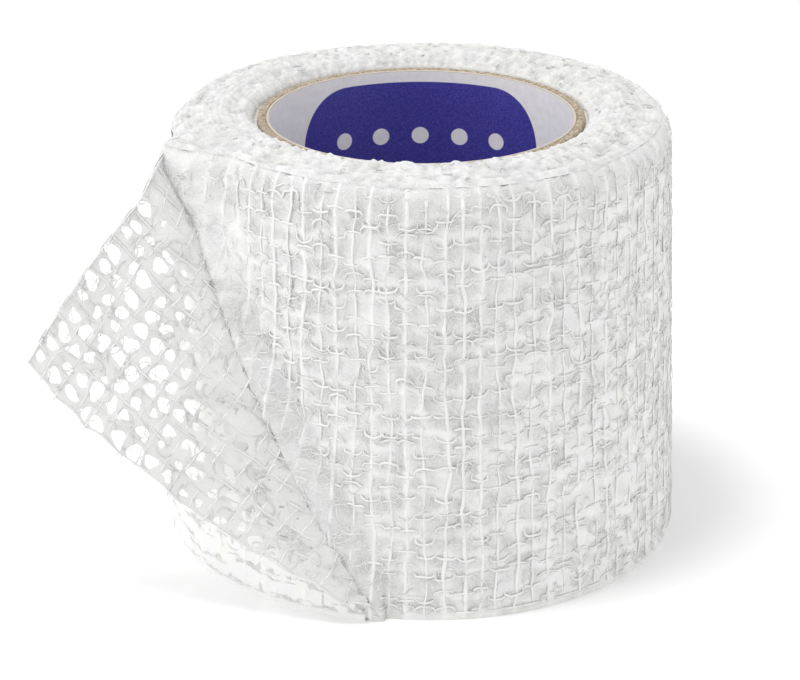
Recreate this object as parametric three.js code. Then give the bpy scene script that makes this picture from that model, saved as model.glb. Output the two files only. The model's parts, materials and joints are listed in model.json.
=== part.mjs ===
// Cohesive bandage roll: a crepe gauze bandage wound on a paperboard core. It stands on one
// end, and the top corner of its loose end is peeled off and folded back to the left.
//
// Millimetres, +Z up. The pieces are shaped about the core's axis, the front of the roll faces
// -Y, and an angle is counted from the front, positive to the right as seen from the front. The
// group is then moved so that the bottom centre of the whole part's box is the origin.
import * as THREE from 'three';

const DEGREE = Math.PI / 180;

// Fit between neighbouring pieces
const gap = 0.3;

// Core: a paperboard tube with a thin printed paper inside it
const linerBore = 20.45;
const linerThickness = 0.3;
const boardInner = linerBore + linerThickness + gap;
const boardThickness = 0.9;
const coreLength = 58.1;
const rimBevel = 0.15;
const coreFacets = 96;

// Wound bandage: the outer turn's outside face, wider at the foot than at the top
const rollHeight = 60;
const rollInner = boardInner + boardThickness + gap;
const footRadius = 35.9;
const topRadius = 34.0;
const footRounding = 1.2;
const shoulderWidth = 6.5;
const shoulderHeight = 4.4;
const shoulderStart = rollHeight - shoulderHeight;
const innerEdgeDrop = 1.5;
const rollColumns = 108;

// How far the hand-wound turns are from round: off centre, and with three and five soft lobes
const eccentricity = 0.45;
const threeLobes = 0.12;
const fiveLobes = 0.08;

// Main twists: the raised bundles of turns that show on the top face as a spiral
const bundlePitch = 3.7;
const bundleHeight = 0.22;

// Loose end: the last stretch of the outer turn, a sheet that lies on the roll up to the
// crease and then folds back. Its cut edge would be upright at cutAngle if laid flat.
const clothThickness = 1.0;
const clothWidth = 57.0;
const clothFoot = 0.8;
const turnGrowth = clothThickness + gap;
const cutAngle = -8.4 * DEGREE;
const rootAngle = -150 * DEGREE;
const rootLedge = 0.4 * DEGREE;
const meanRadius = 34.5;
const facetRoom = 0.07;

// Crease: how far back from the cut edge it lies, and how the cloth lifts off the roll at it
const creaseBackAtFoot = 1.5;
const creaseBackAtTop = 41.9;
const liftOffRoll = 1.25;
const liftFade = 14;

// Flap: the corner that hangs free, its bend at the crease, and its sagging cut edge
const freeCorner = new THREE.Vector3(-51.5, -24, 31.7);
const flapFacing = new THREE.Vector3(0, -1, 0.35).normalize();
const bendReachAtFoot = 1.2;
const bendReachAtTop = 16.2;
const flapHang = 30.8;
const flapBelly = 2.4;
const cutEdgeSag = 2.6;
const cutEdgeStandoff = 2.3;
const standoffRise = 0.07;

// Steps of the loose end's surface, closer together at the selvedges and round the bend
const wrapColumns = 24;
const flapColumns = 20;
const bendCrowding = 1.25;
const clothRows = 22;
const selvedgeCrowding = 0.75;

const materials = {
  gauze: new THREE.MeshStandardMaterial({ name: 'gauze', color: 0xf1f1ef, roughness: 0.95 }),
  board: new THREE.MeshStandardMaterial({ name: 'board', color: 0xcdb189, roughness: 0.85 }),
  paper: new THREE.MeshStandardMaterial({ name: 'paper', color: 0xf2f1f4, roughness: 0.55 }),
};

const group = new THREE.Group();
group.name = 'cohesive_bandage_roll';

function addPiece(name, geometry, material) {
  const piece = new THREE.Mesh(geometry, material);
  piece.name = name;
  group.add(piece);
}

function polar(angle, radius, z) {
  return new THREE.Vector3(radius * Math.sin(angle), -radius * Math.cos(angle), z);
}

function smooth(value) {
  const t = Math.min(Math.max(value, 0), 1);
  return t * t * (3 - 2 * t);
}

// A closed solid through a row of sections. Each section is a closed loop of points, and all
// have the same count. A ring joins its last section to its first; otherwise both ends are
// closed by a strip between the two halves of the loop.
function loft(sections, isRing) {
  const count = sections[0].length;
  const positions = sections.flat().flatMap((point) => [point.x, point.y, point.z]);
  const faces = [];
  const quad = (a, b, c, d) => faces.push(a, b, c, a, c, d);
  const spans = isRing ? sections.length : sections.length - 1;
  for (let i = 0; i < spans; i += 1) {
    const here = i * count;
    const next = ((i + 1) % sections.length) * count;
    for (let j = 0; j < count; j += 1) {
      const k = (j + 1) % count;
      quad(here + j, next + j, next + k, here + k);
    }
  }
  if (!isRing) {
    const last = spans * count;
    for (let j = 0; j < count / 2 - 1; j += 1) {
      const mirror = count - 1 - j;
      quad(j, j + 1, mirror - 1, mirror);
      quad(last + mirror, last + mirror - 1, last + j + 1, last + j);
    }
  }
  const geometry = new THREE.BufferGeometry();
  geometry.setAttribute('position', new THREE.Float32BufferAttribute(positions, 3));
  geometry.setIndex(faces);
  geometry.computeVertexNormals();
  return geometry;
}

// A tube turned about the Z axis, with a small bevel on its four rims
function tube(inner, thickness, length) {
  const outer = inner + thickness;
  const bevel = Math.min(rimBevel, thickness / 3);
  const corners = [
    [inner + bevel, 0], [outer - bevel, 0], [outer, bevel], [outer, length - bevel],
    [outer - bevel, length], [inner + bevel, length], [inner, length - bevel], [inner, bevel],
    [inner + bevel, 0],
  ];
  const profile = corners.map(([radius, height]) => new THREE.Vector2(radius, height));
  return new THREE.LatheGeometry(profile, coreFacets).rotateX(Math.PI / 2);
}

// The share of a turn from the loose end's cut edge back along the cloth to an angle
function turnsBack(angle) {
  const turns = (cutAngle - angle) / (2 * Math.PI);
  return turns - Math.floor(turns);
}

// The outside face of the outer turn, as wound: a spiral that loses one turn's growth on its
// way back from the cut edge, a little off centre and not quite round, rounded in at the top
function outsideRadius(angle, z, turnsUnder) {
  const taper = footRadius + (topRadius - footRadius) * (z / rollHeight);
  const spiral = turnGrowth * (turnsBack(angle) + turnsUnder);
  const handWound = threeLobes * Math.sin(3 * angle + 1) + fiveLobes * Math.sin(5 * angle + 0.4);
  const radius = taper - spiral + eccentricity * Math.sin(angle) + handWound;
  const rise = Math.max(0, z - shoulderStart) / shoulderHeight;
  return radius - shoulderWidth * (1 - Math.sqrt(1 - Math.min(rise * rise, 1)));
}

// Height of the top face inside the shoulder, lower towards the core, with its spiral bundles
function topHeight(angle, radius, crownRadius) {
  const inward = (crownRadius - radius) / (crownRadius - rollInner);
  const bundle = Math.cos(2 * Math.PI * (radius - rollInner) / bundlePitch + angle);
  const swell = bundleHeight * bundle * smooth(inward * 4) * smooth((1 - inward) * 4);
  const hollow = innerEdgeDrop * inward * inward;
  return rollHeight - bundleHeight - hollow + swell;
}

// One section of the wound bandage: foot, side, shoulder, top face and the bore's wall
function rollSection(angle, turnsUnder) {
  const loop = [];
  const add = (radius, z) => loop.push(polar(angle, radius, z));
  const side = (z) => outsideRadius(angle, z, turnsUnder);
  const footSteps = 4;
  const sideSteps = 5;
  const shoulderSteps = 6;
  const topSteps = 14;
  add(rollInner, 0);
  for (let i = 0; i <= footSteps; i += 1) {
    const turn = (i / footSteps) * Math.PI / 2;
    add(side(0) - footRounding * (1 - Math.sin(turn)), footRounding * (1 - Math.cos(turn)));
  }
  for (let i = 1; i < sideSteps; i += 1) {
    const z = footRounding + (shoulderStart - footRounding) * (i / sideSteps);
    add(side(z), z);
  }
  const crownRadius = side(shoulderStart) - shoulderWidth;
  for (let i = 0; i < shoulderSteps; i += 1) {
    const turn = (i / shoulderSteps) * Math.PI / 2;
    const rise = shoulderHeight * Math.sin(turn) - bundleHeight * Math.sin(turn) ** 4;
    add(crownRadius + shoulderWidth * Math.cos(turn), shoulderStart + rise);
  }
  for (let i = 0; i <= topSteps; i += 1) {
    const radius = crownRadius + (rollInner - crownRadius) * (i / topSteps);
    add(radius, topHeight(angle, radius, crownRadius));
  }
  return loop;
}

// The wound bandage as one solid. Under the loose end it is one turn thinner, so that the
// sheet lies flush with the turn that it continues, behind a small ledge at its root.
function woundBandage() {
  const sections = [];
  for (let i = 0; i < rollColumns; i += 1) {
    const angle = rootAngle + (i / (rollColumns - 1)) * (2 * Math.PI - rootLedge);
    const underSheet = angle < cutAngle ? 1 : 0;
    sections.push(rollSection(angle, underSheet));
  }
  return loft(sections, true);
}

// How far back from the cut edge the crease lies at a height, along the cloth
function creaseBack(height) {
  return creaseBackAtFoot + (creaseBackAtTop - creaseBackAtFoot) * height;
}

// The loose end's middle surface where it still lies on the roll, a way back from the cut
// edge. It keeps the gap from the turn under it, over the shoulder too, and rises off the roll
// just before the crease. A height is a share of the cloth's width, 0 at the foot.
function wrapPoint(back, height) {
  const angle = cutAngle - back / meanRadius;
  const z = clothFoot + clothWidth * height;
  const onRoll = smooth((back - creaseBack(height)) / liftFade);
  const woundAt = Math.min(z, shoulderStart) + onRoll * Math.max(0, z - shoulderStart);
  const probe = 0.05;
  const under = (level) => outsideRadius(angle, level, 1);
  const slope = (under(woundAt + probe) - under(woundAt - probe)) / (2 * probe);
  const normal = new THREE.Vector2(1, -onRoll * slope).normalize();
  const standoff = gap + facetRoom + clothThickness / 2;
  const rise = liftOffRoll * height * (1 - onRoll);
  return polar(angle, under(woundAt) + standoff * normal.x + rise, z + standoff * normal.y);
}

// The flap's own directions: up its cut edge, and across that edge out of the flap, which is
// down and to the left
function flapDirections() {
  const foot = wrapPoint(0, 0);
  const alongCut = freeCorner.clone().sub(foot).normalize();
  const outOfFlap = flapFacing.clone().cross(alongCut).normalize();
  return { foot, alongCut, outOfFlap };
}

// The cut edge, from the foot of the roll up to the free corner
function cutEdgePoint(height) {
  const { foot, outOfFlap } = flapDirections();
  const point = foot.clone().lerp(freeCorner, height);
  const outward = new THREE.Vector3(point.x, point.y, 0).normalize();
  const standoff = cutEdgeStandoff * (1 - Math.exp(-height / standoffRise)) * (1 - height);
  const sag = cutEdgeSag * 4 * height * (1 - height);
  return point.addScaledVector(outward, standoff).addScaledVector(outOfFlap, sag);
}

// The cloth at one height, from the crease round the bend to the cut edge. The bend is tight
// at the foot and wide at the top, where the flap also bellies out towards its free corner.
function flapLine(height) {
  const { alongCut, outOfFlap } = flapDirections();
  const back = creaseBack(height);
  const angle = cutAngle - back / meanRadius;
  const alongRoll = new THREE.Vector3(Math.cos(angle), Math.sin(angle), 0);
  const bendReach = bendReachAtFoot + (bendReachAtTop - bendReachAtFoot) * height;
  const crease = wrapPoint(back, height);
  const edge = cutEdgePoint(height);
  const leave = crease.clone().addScaledVector(alongRoll, bendReach);
  const arrive = edge.clone().addScaledVector(outOfFlap, -flapHang * height);
  arrive.addScaledVector(alongCut, flapBelly * height);
  return new THREE.CubicBezierCurve3(crease, leave, arrive, edge);
}

// The loose end's middle surface, row by row from its root to its cut edge
function clothRow(height) {
  const rootBack = (cutAngle - rootAngle) * meanRadius - gap;
  const crease = creaseBack(height);
  const line = flapLine(height);
  const points = [];
  for (let i = 0; i < wrapColumns; i += 1) {
    points.push(wrapPoint(rootBack + (crease - rootBack) * (i / wrapColumns), height));
  }
  for (let i = 0; i <= flapColumns; i += 1) {
    points.push(line.getPoint((i / flapColumns) ** bendCrowding));
  }
  return points;
}

// The loose end as a sheet: its middle surface thickened both ways
function looseEnd() {
  const middle = [];
  for (let j = 0; j <= clothRows; j += 1) {
    const share = j / clothRows;
    const crowding = selvedgeCrowding * Math.sin(2 * Math.PI * share) / (2 * Math.PI);
    middle.push(clothRow(share - crowding));
  }
  const lastColumn = wrapColumns + flapColumns;
  const normalAt = (row, column) => {
    const left = middle[row][Math.max(column - 1, 0)];
    const right = middle[row][Math.min(column + 1, lastColumn)];
    const below = middle[Math.max(row - 1, 0)][column];
    const above = middle[Math.min(row + 1, clothRows)][column];
    const along = right.clone().sub(left);
    return along.cross(above.clone().sub(below)).normalize();
  };
  const sections = [];
  for (let column = 0; column <= lastColumn; column += 1) {
    const outer = [];
    const inner = [];
    for (let row = 0; row <= clothRows; row += 1) {
      const offset = normalAt(row, column).multiplyScalar(clothThickness / 2);
      outer.push(middle[row][column].clone().add(offset));
      inner.push(middle[row][column].clone().sub(offset));
    }
    sections.push([...outer, ...inner.reverse()]);
  }
  return loft(sections, false);
}

// Stands the part on the origin, under the middle of its box
function standOnOrigin() {
  const box = new THREE.Box3().setFromObject(group);
  const middle = box.getCenter(new THREE.Vector3());
  group.position.set(-middle.x, -middle.y, -box.min.z);
}

addPiece('core_liner', tube(linerBore, linerThickness, coreLength), materials.paper);
addPiece('core', tube(boardInner, boardThickness, coreLength), materials.board);
addPiece('roll', woundBandage(), materials.gauze);
addPiece('loose_end', looseEnd(), materials.gauze);
standOnOrigin();

export default group;
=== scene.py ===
# %% [markdown]
# A cohesive bandage roll. Crepe gauze is wound on a paperboard core and stands on one end, and
# the top corner of its loose end is peeled off and folded back. Thin white weft threads stand
# upright on the roll, soft crimped warp yarns run round it, and a film of latex and fuzz joins
# them. On the folded flap that film is an open net with rounded holes. On the roll, where turn
# lies on turn, it is a soft felt. Each of these is made here as real geometry, because the
# threads, the hooks at their crossings and the holes are what the eye reads.

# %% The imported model, and sizes that the whole lesson uses
import json
import math

import bpy
import numpy as np
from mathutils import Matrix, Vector

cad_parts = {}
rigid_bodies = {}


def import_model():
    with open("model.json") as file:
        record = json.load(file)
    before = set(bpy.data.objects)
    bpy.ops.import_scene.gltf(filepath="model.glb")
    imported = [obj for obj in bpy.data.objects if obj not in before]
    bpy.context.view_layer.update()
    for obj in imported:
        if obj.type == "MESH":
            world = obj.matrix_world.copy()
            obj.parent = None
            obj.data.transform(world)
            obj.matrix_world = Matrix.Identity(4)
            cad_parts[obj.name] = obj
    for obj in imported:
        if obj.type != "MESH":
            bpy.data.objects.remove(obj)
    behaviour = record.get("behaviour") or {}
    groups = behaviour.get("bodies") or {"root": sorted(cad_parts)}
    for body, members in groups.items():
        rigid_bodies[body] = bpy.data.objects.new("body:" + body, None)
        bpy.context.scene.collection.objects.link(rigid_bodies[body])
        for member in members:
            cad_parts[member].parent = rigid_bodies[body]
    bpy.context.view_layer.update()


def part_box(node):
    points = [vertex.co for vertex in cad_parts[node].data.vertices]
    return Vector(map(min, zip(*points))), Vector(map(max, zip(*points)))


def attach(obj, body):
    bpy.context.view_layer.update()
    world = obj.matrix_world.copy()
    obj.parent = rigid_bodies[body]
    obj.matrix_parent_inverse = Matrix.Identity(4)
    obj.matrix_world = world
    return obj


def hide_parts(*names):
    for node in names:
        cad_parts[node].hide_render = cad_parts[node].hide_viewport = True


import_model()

MM = 0.001
core_low, core_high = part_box("core")
axis_x = (core_low[0] + core_high[0]) / 2 / MM
axis_y = (core_low[1] + core_high[1]) / 2 / MM
core_length = core_high[2] / MM
board_outer = (core_high[0] - core_low[0]) / 2 / MM
rng = np.random.default_rng(24)
print("core axis at", round(axis_x, 3), round(axis_y, 3), "mm, board radius", round(board_outer, 2))

# %% [markdown]
# The camera is the photograph's: a long lens from a little above, with no shift. It is set
# first, so that every later step can be judged in the same view.

# %% Camera
camera_from_axis = (-2.85, -389.97, 181.57)
camera_pitch = math.radians(21.8)
camera_focal_px = 3046
image_width_px = 800

camera_data = bpy.data.cameras.new("camera")
camera_data.sensor_width = 36
camera_data.lens = camera_focal_px * camera_data.sensor_width / image_width_px
camera_data.clip_start = 0.01
camera = bpy.data.objects.new("camera", camera_data)
camera.location = (
    (axis_x + camera_from_axis[0]) * MM,
    (axis_y + camera_from_axis[1]) * MM,
    camera_from_axis[2] * MM,
)
camera.rotation_euler = (math.pi / 2 - camera_pitch, 0, 0)
bpy.context.collection.objects.link(camera)
bpy.context.scene.camera = camera
print("lens", round(camera_data.lens, 2), "mm")

# %% [markdown]
# The roll was wound by a machine with a light hand, so it isn't quite round: it is a little
# wider at the foot, off centre, and its outside is a spiral. These are the same driving sizes
# as in the solid model, so the cloth made here lies just where the solids are.

# %% Sizes of the wound form
roll_height = 60
foot_radius = 35.9
top_radius = 34.0
shoulder_width = 6.5
shoulder_height = 4.4
shoulder_start = roll_height - shoulder_height
inner_edge_drop = 1.5
roll_inner = board_outer + 0.3
eccentricity = 0.45
bundle_pitch = 3.7
bundle_height = 0.22
turn_growth = 1.3
mean_radius = 34.5
cut_angle = math.radians(-8.4)
root_angle = math.radians(-150)
root_back = (cut_angle - root_angle) * mean_radius
one_turn = 2 * math.pi * mean_radius
lobes = [(3, 1.0, 0.12), (5, 0.4, 0.08)]


def smooth(value):
    t = np.clip(value, 0, 1)
    return t * t * (3 - 2 * t)


def polar(angle, radius, z):
    """A place by its angle from the front, positive to the right, and its reach from the axis."""
    x = axis_x + radius * np.sin(angle)
    y = axis_y - radius * np.cos(angle)
    return np.stack(np.broadcast_arrays(x, y, z), axis=-1)


def wound_radius(angle, z, turns_back):
    """The outside of the turn that lies so many turns back from the cut edge."""
    taper = foot_radius + (top_radius - foot_radius) * z / roll_height
    uneven = sum(swing * np.sin(waves * angle + start) for waves, start, swing in lobes)
    rise = np.clip((z - shoulder_start) / shoulder_height, 0, 1)
    shoulder = shoulder_width * (1 - np.sqrt(1 - rise * rise))
    return taper - turn_growth * turns_back + eccentricity * np.sin(angle) + uneven - shoulder


print("one outer turn is", round(one_turn, 1), "mm, the loose end", round(root_back, 1), "mm")

# %% [markdown]
# The loose end is a page that has been turned. It lies on the roll up to a straight crease,
# and from there each line of cloth runs round a bend that is tight at the foot and wide at the
# top, and on to a cut edge that sags between the foot and the free corner. A Bezier curve for
# each line gives that bend with four points that are easy to place by hand.

# %% Sizes and shape of the loose end
cloth_foot = 0.8
cloth_width = 57.0
cloth_standoff = 0.87
crease_back_at_foot = 1.5
crease_back_at_top = 41.9
lift_off_roll = 0.4
lift_fade = 14
free_corner = np.array([axis_x - 51.5, axis_y - 24, 31.7])
flap_facing = np.array([0, -1, 0.35])
bend_reach_at_foot = 1.2
bend_reach_at_top = 16.2
flap_hang = 30.8
flap_belly = 2.4
cut_edge_sag = 2.6
cut_edge_standoff = 2.3
standoff_rise = 0.07
drag_at_foot = 1.35
drag_growth = 2.1
drag_reach = 4.5
drag_reach_at_top = 11
drag_hidden = 3.5
drag_share_low = 0.95
drag_share_high = 1.0
bend_swell = 2.3
swell_middle = 33.5
swell_reach = 8.5
calm_reach = 13
edge_share_at_foot = 0.78
edge_share_growth = 0.08
curve_steps = 32

# %% [markdown]
# Next come the lines that the cloth follows. The crease runs slantwise from the foot to the top
# edge. Beside it the turn underneath is pulled up a little with the fold, because cohesive cloth
# clings to itself, and the bend stands out most near the top, where the cloth is stiff.

# %% The crease, and what the fold pulls with it
def unit(vectors):
    return vectors / np.linalg.norm(vectors, axis=-1, keepdims=True)


def crease_back(height):
    return crease_back_at_foot + (crease_back_at_top - crease_back_at_foot) * height


def edge_back(height):
    """Where the bend is seen edge on: a little nearer to the cut edge than the crease."""
    return crease_back(height) * (edge_share_at_foot + edge_share_growth * height)


def bend_swelling(back, height):
    """How far the top of the bend stands out: the cloth is stiff there and keeps its curve."""
    along = smooth(1 - np.abs(back - swell_middle) / swell_reach)
    return bend_swell * along * smooth((height - 0.82) / 0.18)


def dragged(back, height):
    """How far the turn under the fold is pulled up with it: the cloth clings, most at the top."""
    gap = drag_at_foot + drag_growth * height + bend_swelling(edge_back(height), height)
    share = drag_share_low + (drag_share_high - drag_share_low) * smooth((height - 0.84) / 0.1)
    ahead = edge_back(height) - (back - one_turn)
    reach = drag_reach + (drag_reach_at_top - drag_reach) * smooth((height - 0.75) / 0.25)
    ramp = smooth(1 - ahead / np.where(ahead > 0, reach, -drag_hidden))
    return np.where(back > one_turn, gap * share * ramp, 0)


def calm(back, height):
    """1 where the wound cloth is drawn smooth, beside the top of the fold, and 0 far from it."""
    beside = one_turn + edge_back(height) - back
    return smooth(1 - beside / calm_reach) * smooth((height - 0.55) / 0.25)

# %% [markdown]
# Where it lies on the roll, a place on the cloth is given by how far back it is from the cut
# edge and how high it is. It could be put on a plain cylinder, but the roll's spiral, lobes and
# shoulder would be lost. So it is put just off the wound form, square to the form's own slope.

# %% Cloth that lies on the roll
def laid_point(back, height):
    """A place on the cloth where it lies on the turn under it, a way back from the cut edge."""
    angle = cut_angle - back / mean_radius
    turns = back / one_turn + 1
    z = cloth_foot + cloth_width * height
    on_roll = smooth((back - crease_back(height)) / lift_fade)
    wound_at = np.minimum(z, shoulder_start) + on_roll * np.maximum(0, z - shoulder_start)
    probe = 0.05
    above = wound_radius(angle, wound_at + probe, turns)
    below = wound_radius(angle, wound_at - probe, turns)
    slope = on_roll * (above - below) / (2 * probe)
    length = np.sqrt(1 + slope * slope)
    rise = lift_off_roll * height * (1 - on_roll)
    rise = rise + dragged(back, height)
    radius = wound_radius(angle, wound_at, turns) + cloth_standoff / length + rise
    return polar(angle, radius, z - cloth_standoff * slope / length)

# %% [markdown]
# The flap hangs free. Each of its lines leaves the crease along the roll, turns, and comes in at
# the cut edge. A place is found by its length along that line, so the threads keep their spacing
# round the bend and aren't stretched.

# %% The flap, from the crease to the cut edge
cut_foot = laid_point(np.array(0.0), np.array(0.0))
along_cut = unit(free_corner - cut_foot)
out_of_flap = unit(np.cross(unit(flap_facing), along_cut))


def cut_edge_point(height):
    height = np.asarray(height)[..., None]
    point = cut_foot + (free_corner - cut_foot) * height
    outward = unit((point - [axis_x, axis_y, 0]) * [1, 1, 0])
    standoff = cut_edge_standoff * (1 - np.exp(-height / standoff_rise)) * (1 - height)
    return point + outward * standoff + out_of_flap * cut_edge_sag * 4 * height * (1 - height)


def flap_point(back, height):
    """A place on the flap, by its distance back from the cut edge; a negative one is beyond it."""
    crease = crease_back(height)
    angle = cut_angle - crease / mean_radius
    along_roll = np.stack([np.cos(angle), np.sin(angle), np.zeros_like(angle)], axis=-1)
    reach = bend_reach_at_foot + (bend_reach_at_top - bend_reach_at_foot) * height
    hang = np.maximum(height, 0.02)[:, None]
    start = laid_point(crease, height)
    end = cut_edge_point(height)
    leave = start + along_roll * reach[:, None]
    arrive = end - out_of_flap * flap_hang * hang + along_cut * flap_belly * hang
    u = np.linspace(0, 1, curve_steps + 1)[None, :, None]
    corners = [start, leave, arrive, end]
    weights = [(1 - u) ** 3, 3 * u * (1 - u) ** 2, 3 * u * u * (1 - u), u ** 3]
    line = sum(weight * corner[:, None, :] for weight, corner in zip(weights, corners))
    steps = np.linalg.norm(np.diff(line, axis=1), axis=2)
    reached = np.concatenate([np.zeros((len(steps), 1)), np.cumsum(steps, axis=1)], axis=1)
    wanted = np.clip(1 - back / crease, 0, 1) * reached[:, -1]
    index = np.clip((reached < wanted[:, None]).sum(axis=1) - 1, 0, curve_steps - 1)
    row = np.arange(len(index))
    part = (wanted - reached[row, index]) / steps[row, index]
    point = line[row, index] + (line[row, index + 1] - line[row, index]) * part[:, None]
    beyond = np.maximum(0, -back)[:, None]
    return point + unit(end - arrive) * beyond

# %% [markdown]
# All that follows asks only for places on the cloth, so the two stretches are joined behind one
# helper. A second one adds a height off the surface, and gives the way that is outward.

# %% Any place on the cloth
def cloth_point(back, height):
    """A place on the cloth's middle surface, anywhere from the cut edge to a turn and more back."""
    back, height = np.broadcast_arrays(np.asarray(back, float), np.asarray(height, float))
    flat_back, flat_height = back.ravel(), height.ravel()
    point = laid_point(np.maximum(flat_back, crease_back(flat_height)), flat_height)
    hangs = flat_back < crease_back(flat_height)
    if hangs.any():
        point[hangs] = flap_point(flat_back[hangs], flat_height[hangs])
    outward = unit((point - [axis_x, axis_y, 0]) * [1, 1, 0])
    point = point + outward * bend_swelling(flat_back, flat_height)[:, None]
    return point.reshape(back.shape + (3,))


def on_cloth(back, height, lift):
    """A place a little off the cloth: a positive lift is on the side that faces out on the roll."""
    here = cloth_point(back, height)
    along = cloth_point(back + 0.2, height) - cloth_point(back - 0.2, height)
    up = cloth_point(back, height + 0.004) - cloth_point(back, height - 0.004)
    normal = unit(np.cross(up, along))
    return here + normal * np.asarray(lift)[..., None], normal


print("free corner of the middle surface", np.round(cloth_point(0, 1), 2))

# %% [markdown]
# Yarns are tubes along a row of points. Hundreds of them share one mesh, so the tubes are
# worked out together with arrays: each point gets a small ring, neighbouring rings are joined
# by four-sided faces, and each end is closed by one face.

# %% Helpers that turn arrays into pieces
def mesh_piece(name, vertices, faces, slot):
    """A smooth piece of the gauze or of the core, from places in millimetres."""
    mesh = bpy.data.meshes.new(name)
    mesh.from_pydata((np.asarray(vertices) * MM).tolist(), [], faces)
    mesh.polygons.foreach_set("use_smooth", np.full(len(mesh.polygons), True))
    mesh.update()
    piece = bpy.data.objects.new(name, mesh)
    bpy.context.collection.objects.link(piece)
    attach(piece, "root")
    return piece


def tubes(lines, radii, sides, guide, flatness=1.0):
    """Closed tubes: lines is (count, steps, 3) and guide gives the way that is up at each point.
    A flatness under 1 presses the tube flat along that way."""
    count, steps, _ = lines.shape
    tangent = unit(np.gradient(lines, axis=1))
    side = unit(np.cross(tangent, guide))
    up = np.cross(side, tangent)
    turn = np.arange(sides) * 2 * math.pi / sides
    radii = np.broadcast_to(radii, (count, steps))[..., None, None]
    across = side[:, :, None, :] * np.cos(turn)[:, None]
    upward = up[:, :, None, :] * np.sin(turn)[:, None] * flatness
    vertices = (lines[:, :, None, :] + (across + upward) * radii).reshape(-1, 3)
    start = (np.arange(count) * steps * sides)[:, None, None]
    step = (np.arange(steps - 1) * sides)[None, :, None]
    k = np.arange(sides)[None, None, :]
    a = start + step + k
    b = start + step + (k + 1) % sides
    quads = np.stack([a, a + sides, b + sides, b], axis=-1).reshape(-1, 4)
    first = np.arange(count)[:, None] * steps * sides
    low_caps = first + np.arange(sides)[None, :]
    high_caps = first + (steps - 1) * sides + np.arange(sides)[None, ::-1]
    return vertices, quads, np.concatenate([low_caps, high_caps])


def join_parts(parts):
    """Several sets of tubes as one list of vertices and one of faces."""
    vertices, faces, offset = [], [], 0
    for part_vertices, quads, caps in parts:
        vertices.append(part_vertices)
        faces.extend((quads + offset).tolist())
        faces.extend((caps + offset).tolist())
        offset += len(part_vertices)
    return np.concatenate(vertices), faces


def thread_piece(name, *parts):
    """One piece of gauze made of several sets of tubes."""
    return mesh_piece(name, *join_parts(parts), "bandage")


def keep_white(piece, white):
    """Keeps how white the cloth is at each vertex, with its painted light and shade, for the felt's
    material to read.
    """
    kept = piece.data.attributes.new("white", "FLOAT", "POINT")
    kept.data.foreach_set("value", np.clip(white, 0, 1).ravel())


def triangles(piece):
    piece.data.calc_loop_triangles()
    return len(piece.data.loop_triangles)


def slow_noise(shape, smoothing, seed):
    """Random values from -1 to 1 that change slowly along the last direction."""
    values = np.random.default_rng(seed).uniform(-1, 1, shape)
    kernel = np.hanning(smoothing + 2)[1:-1]
    kernel /= kernel.sum()
    padded = np.pad(values, [(0, 0)] * (len(shape) - 1) + [(smoothing, smoothing)], mode="wrap")
    eased = np.apply_along_axis(lambda row: np.convolve(row, kernel, mode="same"), -1, padded)
    eased = eased[..., smoothing:-smoothing]
    return np.clip(eased * math.sqrt(smoothing) * 1.2, -1, 1)


def soft_field(shape, wide, tall, seed):
    """Random values with a spread of 1 over a grid, blurred so many steps along each way."""
    values = np.random.default_rng(seed).normal(0, 1, shape)
    across = np.fft.fftfreq(shape[0])[:, None] * wide
    along = np.fft.fftfreq(shape[1])[None, :] * tall
    blur = np.exp(-2 * math.pi ** 2 * (across * across + along * along))
    eased = np.fft.ifft2(np.fft.fft2(values) * blur).real
    return eased / eased.std()

# %% [markdown]
# The gauze has a warp pitch of nearly 3 mm and a weft pitch of about 2.4 mm, and no crossing is
# quite where it should be. So the crossings come first, as a grid with small errors, and every
# thread, hook and hole is hung on that grid. One grid covers the loose end and the whole outer
# turn, so the threads run on without a step where the two meet behind the roll. Three more
# helpers say where the cloth is wound tight, where it lies in the fold's shade, and where its
# far end goes down under the loose end.

# %% The grid of crossings
warp_rows = 21
warp_pitch = cloth_width / (warp_rows - 1)
weft_pitch = 2.42
first_weft = 0.7
under_fold = 50
strip_end = one_turn + under_fold
weft_error = 0.26
slow_wander, quick_wander = 0.3, 0.15
slow_drift, quick_drift = 0.4, 0.16
tight_near, tight_far = 12, 125
shade_reach = 6.0
tuck_depth = 0.7
tuck_length = 12
weft_count = int((strip_end - first_weft) / weft_pitch)

weft_back = first_weft + weft_pitch * np.arange(weft_count)
weft_back = weft_back + rng.uniform(-weft_error, weft_error, weft_count)
row_share = np.linspace(0, 1, warp_rows)
grid = (weft_count, warp_rows)
wander = slow_noise(grid, 5, 1) * slow_wander + rng.normal(0, quick_wander, grid)
node_back = weft_back[:, None] + wander
drift = slow_noise(grid[::-1], 9, 2).T * slow_drift + rng.normal(0, quick_drift, grid)
drift[:, [0, -1]] = 0
node_height = row_share[None, :] + drift / cloth_width
root_weft = int(np.argmin(np.abs(weft_back - root_back)))


def tight(back):
    """1 at the right side of the roll, where the outer turn is wound tight, and 0 elsewhere."""
    return smooth((one_turn - tight_near - back) / 26) * smooth((back - one_turn + tight_far) / 40)


def beside_fold(back, height):
    """1 in the strip of cloth just right of the fold, which lies in its shade, and 0 elsewhere."""
    distance = np.abs(one_turn + edge_back(height) - back)
    return smooth(1.15 - distance / shade_reach) * smooth((0.85 - height) / 0.25)


def tucked(back):
    """Depth that the far end of the strip goes down under the loose end that covers it."""
    return tuck_depth * smooth((back - strip_end + tuck_length) / 10)


print(weft_count, "wefts,", warp_rows, "warps, root at weft", root_weft)

# %% [markdown]
# The film between the threads is the cloth proper: a net of soft bands with rounded holes. For
# each cell of the grid, twelve points round its edge are joined to twelve round its hole, on
# both faces. The bands are lens shaped, thick on the threads and closing at the hole's rim. The
# holes differ in size, a few are nearly shut, and they close up towards the crease.

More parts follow.
